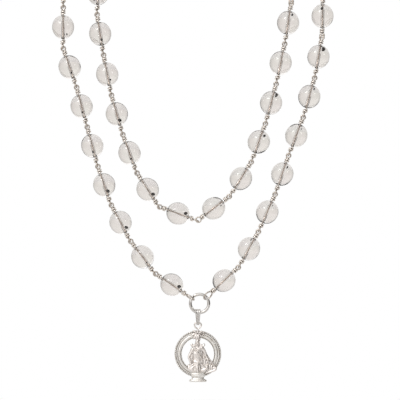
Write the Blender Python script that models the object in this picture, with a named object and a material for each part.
"""A prayer strand of rock-crystal beads on wire-wrapped silver links, worn doubled round a neck.

One closed strand makes two passes round the neck, so its front hangs as a long outer loop and a
shorter inner one.  The outer loop carries a jump ring, a bail and a round pendant.  The origin is
the centre of the neck, level with the nape; +Z is up and the front of the strand faces -Y.
Every bead turns on its own wire.  The loops hang as pairs of links, one left and one right, and
each pair swings about the line through the two eyes that it hangs from.
"""

import math

import bmesh
import bpy
from mathutils import Matrix, Vector

MM = 0.001

# Beads and the wire links that carry them
BEAD_RADIUS = 5.0 * MM
BEAD_HALF_LENGTH = 5.25 * MM
BEAD_HOLE_RADIUS = 0.65 * MM
PITCH = 18.3 * MM  # from one bead's centre to the next one's
WIRE_RADIUS = 0.35 * MM
COIL_RADIUS = 1.0 * MM
COIL_START = 5.55 * MM  # from the bead's centre, along the wire
COIL_END = 7.7 * MM
EYE_RADIUS = 0.95 * MM  # to the middle of the wire
EYE_CENTRE = 8.7 * MM
END_EYE_RADIUS = 2.1 * MM  # the larger eyes that hold the jump ring
END_EYE_CENTRE = 9.9 * MM
END_EYE_ROLL = math.radians(50)  # the right one has turned on the ring

# The doubled strand round the neck
NECK_RADIUS = 50.0 * MM  # to the line midway between the two passes
NECK_BEND = 22.0 * MM  # radius at each side, where the strand turns back from the front
PASS_SPREAD = 8.0 * MM  # from that midway line to either pass
NAPE_BEADS = 14  # on each pass
NAPE_BEAD_PROFILE = [(-1, 0.2), (-0.7, 0.72), (-0.27, 0.97), (0.27, 0.97), (0.7, 0.72), (1, 0.2)]  # shares
FRONT_Y = -NECK_BEND

# The hanging fronts.  Each link's angle is in degrees from level, from the lowest link up.
RING_CENTRE = Vector((2.8 * MM, FRONT_Y, -162 * MM))
OUTER_ANGLES = {"left": (34, 53, 62, 71, 75, 75, 71), "right": (43, 61, 66, 71, 69, 74, 80)}
INNER_LOWEST = RING_CENTRE + Vector((-1 * MM, 0, 37 * MM))
INNER_ANGLES = {"left": (20, 57, 70, 74, 79, 81), "right": (37, 58, 70, 75, 78, 81)}
TURN_EYE_RADIUS = 1.15 * MM  # the two lowest eyes meet at a wide angle and need more room

# Jump ring, bail and pendant
RING_RADIUS = 4.1 * MM
RING_WIRE = 0.7 * MM
RING_CLEARANCE = 0.1 * MM
HANG_SHIFT = 0.75 * MM  # the bail hangs a little left of the ring's middle
HANG_CLEARANCE = 0.55 * MM  # the ring's wire curves up inside the bail's edges
BAIL_LENGTH = 4.8 * MM
BAIL_TOP_RADIUS = 1.5 * MM
BAIL_FOOT_RADIUS = 1.0 * MM
BAIL_THICKNESS = 0.35 * MM
BAIL_TOP_WIDTH = 2.4 * MM
BAIL_FOOT_WIDTH = 1.4 * MM
LOOP_HALF_WIDTH = 1.55 * MM
LOOP_HALF_HEIGHT = 1.2 * MM
LOOP_WIRE = 0.35 * MM
LOOP_CLEARANCE = 0.2 * MM
STEM_LENGTH = 1.2 * MM  # joins the loop to the frame below it
AUREOLE_OUTER = 10.5 * MM
AUREOLE_INNER = 7.2 * MM
AUREOLE_THICKNESS = 1.2 * MM
AUREOLE_SETBACK = 0.7 * MM  # balances the figure in front, so that the pendant hangs plumb
FIGURE_DEPTH = 1.2 * MM  # half of its front-to-back size
FIGURE_BLOBS = {  # millimetres from the middle of the seat: centre, half-sizes, tilt about Y
    "crossed_legs": ((0, -0.2, 1.7), (4.9, 1.0, 1.7), 0),
    "trunk": ((0, 0, 6.3), (2.5, 0.9, 4.6), 0),
    "shoulders": ((0, 0, 9.9), (3.1, 0.8, 1.2), 0),
    "head": ((0, -0.15, 12.5), (1.35, 1.05, 1.6), 0),
    "topknot": ((0, 0, 14.2), (0.8, 0.7, 0.8), 0),
    "left_arm": ((-3.3, -0.1, 6.4), (0.8, 0.7, 3.4), 0.33),
    "right_arm": ((3.4, -0.1, 6.4), (0.8, 0.7, 3.5), -0.40),
}
PEDESTAL_HEIGHT = 3.4 * MM
PEDESTAL_PROFILE = [(1, 0), (1, 0.15), (0.76, 0.32), (0.63, 0.5), (0.8, 0.68), (0.8, 1)]  # as shares
PEDESTAL_FLATNESS = 0.42  # its depth over its width
FOOT_RADIUS = 3.8 * MM
FOOT_DROP = 1.7 * MM  # from the frame's lowest point to the pedestal's flat base
GAP = 0.3 * MM

SIDES = {"left": -1, "right": 1}
FRONT = Vector((0, 1, 0))


# ---------------------------------------------------------------- layout


class Link:
    """One bead with its wire: its centre and the two points where it meets its neighbours."""

    def __init__(self, low, high, centre=None):
        self.low = low
        self.high = high
        self.up = (high - low).normalized()
        self.centre = centre or (low + high) / 2

    def frame(self):
        """Local Z runs up the wire and local Y stays front to back."""
        across = FRONT.cross(self.up).normalized()
        depth = self.up.cross(across)
        turn = Matrix((across, depth, self.up)).transposed()
        return Matrix.Translation(self.centre) @ turn.to_4x4()


def upward(sign, degrees):
    """The direction of a link that rises outward to its side at an angle from level."""
    angle = math.radians(degrees)
    return Vector((sign * math.cos(angle), 0, math.sin(angle)))


def hanging_links(start, sign, angles, first_reach):
    """Links from the lowest up; first_reach is from start to the first bead's centre."""
    links = []
    low = start
    for i, degrees in enumerate(angles):
        up = upward(sign, degrees)
        centre = low + up * (first_reach if i == 0 else PITCH / 2)
        high = centre + up * PITCH / 2
        links.append(Link(low, high, centre))
        low = high
    return links


def front_loops():
    """The links of both loops, by loop and side, from the top down."""
    ring_reach = END_EYE_CENTRE + END_EYE_RADIUS - WIRE_RADIUS - RING_WIRE - RING_CLEARANCE
    loops = {}
    for side, sign in SIDES.items():
        angles = OUTER_ANGLES[side]
        start = RING_CENTRE + RING_RADIUS * upward(sign, angles[0])
        loops["outer", side] = hanging_links(start, sign, angles, ring_reach)[::-1]
        loops["inner", side] = hanging_links(INNER_LOWEST, sign, INNER_ANGLES[side], PITCH / 2)[::-1]
    return loops


def neck_point(share, sign):
    """A point on one pass, from left (share 0) round the nape to right (share 1).

    The two passes (sign +1 and -1) twist half a turn round each other behind the neck, so the
    pass that is outermost on the left is innermost on the right.
    """
    bend = NECK_BEND * math.pi / 2
    arc = NECK_RADIUS * math.pi
    run = share * (2 * bend + arc)
    if run < bend or run > bend + arc:
        side = -1 if run < bend else 1
        angle = min(run, 2 * bend + arc - run) / NECK_BEND
        out = Vector((side, 0, 0))
        middle = out * NECK_RADIUS
        middle += Vector((0, NECK_BEND * (1 - math.cos(angle)), NECK_BEND * math.sin(angle)))
    else:
        angle = (run - bend) / NECK_RADIUS
        out = Vector((-math.cos(angle), math.sin(angle), 0))
        middle = out * NECK_RADIUS + Vector((0, NECK_BEND, NECK_BEND))
    across = min(max((run - bend) / arc, 0), 1)
    twist = math.pi * across * across * (3 - 2 * across)
    offset = out * math.cos(twist) + Vector((0, 0, 1)) * math.sin(twist)
    return middle + Vector((0, FRONT_Y, -NECK_BEND)) + offset * PASS_SPREAD * sign


def chain_joints(path, count):
    """Points along a path that split it into count equal straight steps."""

    def walk(step):
        points = [path[0]]
        for a, b in zip(path, path[1:]):
            while (b - points[-1]).length >= step:
                lo, hi = 0.0, 1.0
                for _ in range(40):
                    mid = (lo + hi) / 2
                    if (a.lerp(b, mid) - points[-1]).length < step:
                        lo = mid
                    else:
                        hi = mid
                points.append(a.lerp(b, hi))
        return points

    short, long = PITCH * 0.8, PITCH * 1.2
    for _ in range(50):
        step = (short + long) / 2
        if len(walk(step)) > count:
            short = step
        else:
            long = step
    return walk(short)[:count] + [path[-1]]


def nape_links(start, end, sign):
    """The links of one pass from its top left hinge round the nape to its top right hinge."""
    samples = 400
    path = [start] + [neck_point(i / samples, sign) for i in range(samples + 1)] + [end]
    points = chain_joints(path, NAPE_BEADS)
    return [Link(a, b) for a, b in zip(points, points[1:])]


# ---------------------------------------------------------------- meshes


def turned(profile, segments, closed=False):
    """A mesh turned round Z from (radius, height) points, bottom to top on the outside."""
    bm = bmesh.new()
    rings = []
    for radius, height in profile:
        count = segments if radius > 0 else 1
        turns = [2 * math.pi * i / segments for i in range(count)]
        rings.append([bm.verts.new((radius * math.cos(a), radius * math.sin(a), height)) for a in turns])
    pairs = list(zip(rings, rings[1:]))
    if closed:
        pairs.append((rings[-1], rings[0]))
    for low, high in pairs:
        for i in range(segments):
            j = (i + 1) % segments
            corners = [low[i % len(low)], low[j % len(low)], high[j % len(high)], high[i % len(high)]]
            bm.faces.new(list(dict.fromkeys(corners)))
    return finished(bm)


def finished(bm):
    """The bmesh as a new mesh with its faces pointing out."""
    bmesh.ops.recalc_face_normals(bm, faces=bm.faces)
    mesh = bpy.data.meshes.new("mesh")
    bm.to_mesh(mesh)
    bm.free()
    return mesh


def torus(major, minor, around, section, matrix=None):
    """A ring round local Z, moved by matrix."""
    turns = [2 * math.pi * (i + 0.5) / section for i in range(section)]
    profile = [(major + minor * math.cos(a), minor * math.sin(a)) for a in turns]
    mesh = turned(profile, around, closed=True)
    if matrix:
        mesh.transform(matrix)
    return mesh


def joined(*meshes):
    """The union of several closed meshes, as one closed mesh."""
    objects = [bpy.data.objects.new("operand", mesh) for mesh in meshes]
    for obj in objects:
        bpy.context.scene.collection.objects.link(obj)
    for other in objects[1:]:
        union = objects[0].modifiers.new("join", "BOOLEAN")
        union.operation = "UNION"
        union.object = other
    shapes = bpy.context.evaluated_depsgraph_get()
    result = bpy.data.meshes.new_from_object(objects[0].evaluated_get(shapes))
    for obj in objects:
        bpy.data.objects.remove(obj)
    return result


def swept(stations, sides):
    """A closed tube through (point, radius) stations."""
    bm = bmesh.new()
    rings = []
    for i, (point, radius) in enumerate(stations):
        before = stations[max(i - 1, 0)][0]
        after = stations[min(i + 1, len(stations) - 1)][0]
        along = (after - before).normalized()
        side = along.cross(Vector((0.2, 0.1, 1))).normalized()
        over = side.cross(along)
        turns = [2 * math.pi * k / sides for k in range(sides)]
        ring = [bm.verts.new(point + radius * (side * math.cos(a) + over * math.sin(a))) for a in turns]
        rings.append(ring)
    for low, high in zip(rings, rings[1:]):
        for k in range(sides):
            bm.faces.new([low[k], low[(k + 1) % sides], high[(k + 1) % sides], high[k]])
    bm.faces.new(rings[0][::-1])
    bm.faces.new(rings[-1])
    return finished(bm)


def blob(centre, size, tilt=0.0):
    """A closed ellipsoid of half-sizes size, tilted about Y."""
    bm = bmesh.new()
    bmesh.ops.create_uvsphere(bm, u_segments=10, v_segments=7, radius=1)
    stretch = Matrix.Diagonal((*size, 1))
    place = Matrix.Translation(centre) @ Matrix.Rotation(tilt, 4, "Y") @ stretch
    bmesh.ops.transform(bm, matrix=place, verts=bm.verts)
    return finished(bm)


def eye_frame(height, roll):
    """Places an eye on the wire: roll 0 shows its hole to the front, a quarter turn its edge."""
    upright = Matrix.Rotation(math.pi / 2, 4, "X")
    return Matrix.Translation((0, 0, height)) @ Matrix.Rotation(roll, 4, "Z") @ upright


def bead_mesh():
    arcs = 6
    top = math.acos(BEAD_HOLE_RADIUS / BEAD_RADIUS)
    angles = [top * (2 * i / arcs - 1) for i in range(arcs + 1)]
    stretch = BEAD_HALF_LENGTH / math.sin(top)
    profile = [(BEAD_RADIUS * math.cos(a), stretch * math.sin(a)) for a in angles]
    return turned(profile, 10, closed=True)


def link_mesh(low_radius=EYE_RADIUS, low_centre=EYE_CENTRE, low_roll=math.pi / 2):
    """A wire through a bead with a wrapped coil and an eye at each end."""
    coil_low = low_centre - low_radius - (EYE_CENTRE - EYE_RADIUS - COIL_END)
    profile = [
        (0, -coil_low),
        (COIL_RADIUS, -coil_low),
        (COIL_RADIUS, -COIL_START),
        (WIRE_RADIUS, -COIL_START),
        (WIRE_RADIUS, COIL_START),
        (COIL_RADIUS, COIL_START),
        (COIL_RADIUS, COIL_END),
        (0, COIL_END),
    ]
    around = 8 if low_radius == EYE_RADIUS else 12
    low_eye = torus(low_radius, WIRE_RADIUS, around, 4, eye_frame(-low_centre, low_roll))
    high_eye = torus(EYE_RADIUS, WIRE_RADIUS, 8, 4, eye_frame(EYE_CENTRE, 0))
    return joined(turned(profile, 6), low_eye, high_eye)


def nape_mesh(links):
    """One pass behind the neck, its beads and wires as one string with an eye at each end."""
    stations = [(links[0].centre - links[0].up * COIL_END, COIL_RADIUS)]
    for i, link in enumerate(links):
        if i:
            stations.append((link.low, WIRE_RADIUS * 2))
        for along, radius in NAPE_BEAD_PROFILE:
            stations.append((link.centre + link.up * along * BEAD_HALF_LENGTH, radius * BEAD_RADIUS))
    stations.append((links[-1].centre + links[-1].up * COIL_END, COIL_RADIUS))
    first = links[0].frame() @ eye_frame(-EYE_CENTRE, math.pi / 2)
    last = links[-1].frame() @ eye_frame(EYE_CENTRE, math.pi / 2)
    eyes = [torus(EYE_RADIUS, WIRE_RADIUS, 8, 4, place) for place in (first, last)]
    return joined(swept(stations, 8), *eyes)


def bail_mesh():
    """A teardrop strap round the ring above and the pendant's loop below, from the ring's wire down."""
    outline = []
    foot = -BAIL_LENGTH
    steps = 6
    for i in range(steps + 1):
        angle = math.pi * i / steps
        outline.append((BAIL_TOP_RADIUS, math.cos(angle), math.sin(angle), 0, BAIL_TOP_WIDTH))
    for i in range(steps + 1):
        angle = math.pi + math.pi * i / steps
        outline.append((BAIL_FOOT_RADIUS, math.cos(angle), math.sin(angle), foot, BAIL_FOOT_WIDTH))
    bm = bmesh.new()
    rings = []
    for radius, c, s, height, width in outline:
        inner = radius - BAIL_THICKNESS
        ring = [
            bm.verts.new((-width / 2, radius * c, height + radius * s)),
            bm.verts.new((width / 2, radius * c, height + radius * s)),
            bm.verts.new((width / 2, inner * c, height + inner * s)),
            bm.verts.new((-width / 2, inner * c, height + inner * s)),
        ]
        rings.append(ring)
    for a, b in zip(rings, rings[1:] + rings[:1]):
        for k in range(4):
            bm.faces.new([a[k], a[(k + 1) % 4], b[(k + 1) % 4], b[k]])
    return finished(bm)


def aureole_mesh(loop_centre, centre):
    """The pendant's round frame with its hanging loop; both face the front."""
    half = AUREOLE_THICKNESS / 2
    profile = [
        (AUREOLE_INNER, -half * 0.6),
        (AUREOLE_INNER + half, -half),
        (AUREOLE_OUTER - half, -half),
        (AUREOLE_OUTER, -half * 0.6),
        (AUREOLE_OUTER, half * 0.6),
        (AUREOLE_OUTER - half, half),
        (AUREOLE_INNER + half, half),
        (AUREOLE_INNER, half * 0.6),
    ]
    frame = turned(profile, 32, closed=True)
    frame.transform(Matrix.Translation((0, AUREOLE_SETBACK, 0)) @ Matrix.Rotation(math.pi / 2, 4, "X"))
    loop = torus(1, 0.25, 10, 4, Matrix.Rotation(math.pi / 2, 4, "X"))
    loop.transform(Matrix.Diagonal((LOOP_HALF_WIDTH, LOOP_WIRE * 4, LOOP_HALF_HEIGHT, 1)))
    loop.transform(Matrix.Translation(loop_centre - centre))
    stem_middle = Vector((0, AUREOLE_SETBACK / 2, AUREOLE_OUTER + STEM_LENGTH / 6))
    stem = blob(stem_middle, Vector((LOOP_WIRE * 2, AUREOLE_SETBACK, STEM_LENGTH / 2)))
    return joined(frame, loop, stem)


def figure_mesh():
    """A small seated figure, front towards -Y, round its seat's middle."""
    return joined(*(blob(Vector(at) * MM, Vector(size) * MM, tilt) for at, size, tilt in FIGURE_BLOBS.values()))


def pedestal_mesh():
    """The turned seat: a bowl on a flared foot, its flat base at height 0."""
    profile = [(r * FOOT_RADIUS, h * PEDESTAL_HEIGHT) for r, h in PEDESTAL_PROFILE]
    mesh = turned([(0, 0), *profile, (0, PEDESTAL_HEIGHT)], 16)
    mesh.transform(Matrix.Diagonal((1, PEDESTAL_FLATNESS, 1, 1)))
    return mesh


# ---------------------------------------------------------------- materials and objects


def material(name, colour, roughness, metallic, transmission=0.0):
    mat = bpy.data.materials.new(name)
    mat.use_nodes = True
    shader = mat.node_tree.nodes["Principled BSDF"]
    shader.inputs["Base Color"].default_value = (*colour, 1)
    shader.inputs["Roughness"].default_value = roughness
    shader.inputs["Metallic"].default_value = metallic
    shader.inputs["Transmission Weight"].default_value = transmission
    return mat


def add(name, mesh, finish, world=None, parent=None):
    """A named sub-part at a world transform, under its joint's empty."""
    if not mesh.materials:
        mesh.materials.append(finish)
    mesh.shade_smooth()
    mesh.set_sharp_from_angle(angle=math.radians(35))
    obj = bpy.data.objects.new(name, mesh)
    bpy.context.scene.collection.objects.link(obj)
    settle(obj, world or Matrix(), parent)
    return obj


def settle(obj, world, parent):
    """Puts an object at a world transform under a parent."""
    if parent:
        obj.parent = parent
        world = parent.matrix_world.inverted() @ world
    obj.matrix_basis = world
    bpy.context.view_layer.update()


def axis_empty(name, point, parent):
    """An empty on a joint's axis, which the joint's pieces hang from."""
    empty = bpy.data.objects.new(name, None)
    empty.empty_display_size = PITCH / 4
    bpy.context.scene.collection.objects.link(empty)
    settle(empty, Matrix.Translation(point), parent)
    return empty


def build_loop(loop, links, neck, silver, crystal, beads, wires):
    """One hanging loop, level by level from the top; returns the lowest level's empty."""
    left, right = links[loop, "left"], links[loop, "right"]
    parent = neck
    for level, pair in enumerate(zip(left, right), start=1):
        middle = (pair[0].high + pair[1].high) / 2
        parent = axis_empty(f"{loop}_swing_{level}", middle, parent)
        for side, link in zip(SIDES, pair):
            lowest = (loop, side) if level == len(left) else None
            add(f"{loop}_{side}_wire_{level}", wires[lowest], silver, link.frame(), parent)
            add(f"{loop}_{side}_bead_{level}", beads, crystal, link.frame(), parent)
    return parent


def build_pendant(links, lowest, silver, polished):
    """The jump ring, the bail and the three pieces of the pendant, each under its hinge."""
    upright = Matrix.Rotation(math.pi / 2, 4, "X")
    held = (links["outer", "left"][-1].low + links["outer", "right"][-1].low) / 2
    ring_axis = axis_empty("jump_ring_swing", held, lowest)
    ring = torus(RING_RADIUS, RING_WIRE, 24, 8)
    add("jump_ring", ring, polished, Matrix.Translation(RING_CENTRE) @ upright, ring_axis)

    drop = math.sqrt(RING_RADIUS**2 - HANG_SHIFT**2)
    hang = RING_CENTRE + Vector((-HANG_SHIFT, 0, -drop))
    hang.z -= BAIL_TOP_RADIUS - BAIL_THICKNESS - RING_WIRE - HANG_CLEARANCE
    bail_axis = axis_empty("bail_swing", hang, ring_axis)
    add("pendant_bail", bail_mesh(), polished, Matrix.Translation(hang), bail_axis)

    foot = hang + Vector((0, 0, -BAIL_LENGTH - BAIL_FOOT_RADIUS + BAIL_THICKNESS))
    loop_centre = foot + Vector((0, 0, LOOP_WIRE + LOOP_CLEARANCE - LOOP_HALF_HEIGHT))
    centre = loop_centre - Vector((0, 0, LOOP_HALF_HEIGHT + STEM_LENGTH + AUREOLE_OUTER - LOOP_WIRE))
    sway = axis_empty("pendant_sway", loop_centre, bail_axis)
    add("aureole_ring", aureole_mesh(loop_centre, centre), silver, Matrix.Translation(centre), sway)
    front = AUREOLE_SETBACK - AUREOLE_THICKNESS / 2 - GAP
    base = centre - Vector((0, 0, AUREOLE_OUTER + FOOT_DROP))
    stand = Matrix.Translation(base + Vector((0, front - FOOT_RADIUS * PEDESTAL_FLATNESS, 0)))
    seat = base + Vector((0, front - FIGURE_DEPTH, PEDESTAL_HEIGHT + GAP))
    add("seated_figure", figure_mesh(), silver, Matrix.Translation(seat), sway)
    add("pedestal", pedestal_mesh(), silver, stand, sway)


def build():
    for obj in list(bpy.data.objects):
        bpy.data.objects.remove(obj)
    silver = material("silver", (0.80, 0.78, 0.74), 0.25, 1.0)
    polished = material("polished_silver", (0.88, 0.88, 0.87), 0.12, 1.0)
    crystal = material("rock_crystal", (0.93, 0.92, 0.91), 0.03, 0.0, 0.9)

    links = front_loops()
    neck = axis_empty("neck", Vector((0, 0, 0)), None)
    over = nape_links(links["outer", "left"][0].high, links["inner", "right"][0].high, 1)
    under = nape_links(links["inner", "left"][0].high, links["outer", "right"][0].high, -1)
    add("nape_strand_over", nape_mesh(over), crystal, parent=neck)
    add("nape_strand_under", nape_mesh(under), crystal, parent=neck)

    wires = {None: link_mesh()}
    wires["outer", "left"] = link_mesh(END_EYE_RADIUS, END_EYE_CENTRE)
    wires["outer", "right"] = link_mesh(END_EYE_RADIUS, END_EYE_CENTRE, END_EYE_ROLL)
    turn_centre = EYE_CENTRE + EYE_RADIUS - TURN_EYE_RADIUS
    wires["inner", "left"] = link_mesh(TURN_EYE_RADIUS, turn_centre)
    wires["inner", "right"] = link_mesh(TURN_EYE_RADIUS, turn_centre, 0)
    beads = bead_mesh()
    lowest = build_loop("outer", links, neck, silver, crystal, beads, wires)
    build_loop("inner", links, neck, silver, crystal, beads, wires)
    build_pendant(links, lowest, silver, polished)


build()
